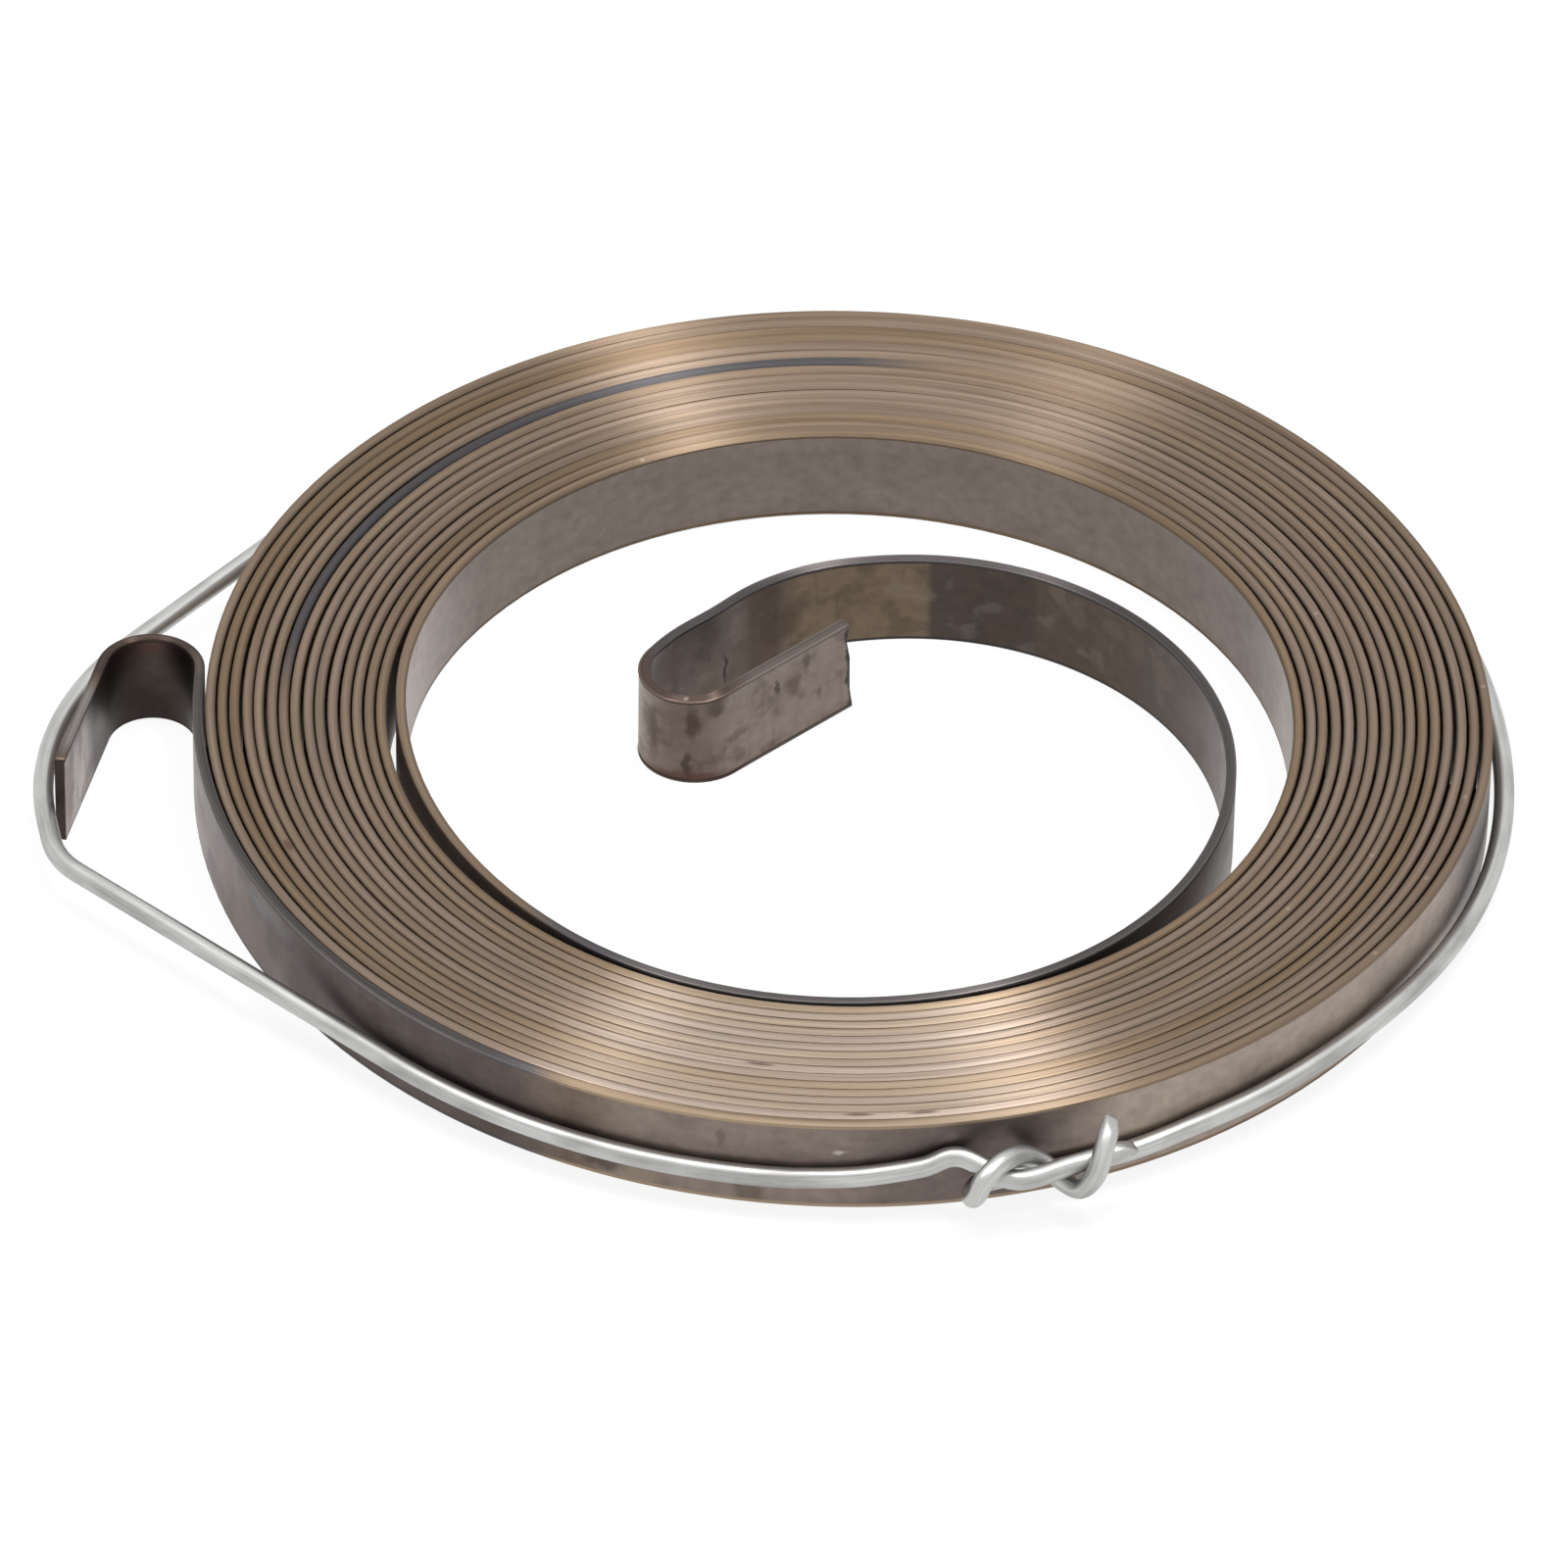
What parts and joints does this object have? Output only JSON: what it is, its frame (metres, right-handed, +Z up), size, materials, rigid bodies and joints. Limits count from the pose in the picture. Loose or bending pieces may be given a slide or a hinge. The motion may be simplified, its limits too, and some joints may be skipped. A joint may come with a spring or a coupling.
{
  "type": "recoil starter spring",
  "caption": "Flat spiral spring of wound steel strip for a pull-cord starter, with an outer hook and an inner hairpin, held closed by a twisted tie wire",
  "frame": {"origin": "On the axis of the wound coil, level with its lower edges", "axes": "+Z up along the coil's axis, +X to the right and +Y to the back as the picture shows it, with the outer hook on the left at -X"},
  "size_m": [0.0868, 0.0801, 0.0066],
  "materials": {
    "spring_steel": "tempered bronze brown, with bare ground edges",
    "zinc_wire": "drawn and zinc coated"
  },
  "bodies": {
    "root": {"spring_strip": "spring_steel", "tie_wire": "zinc_wire"}
  },
  "joints": []
}
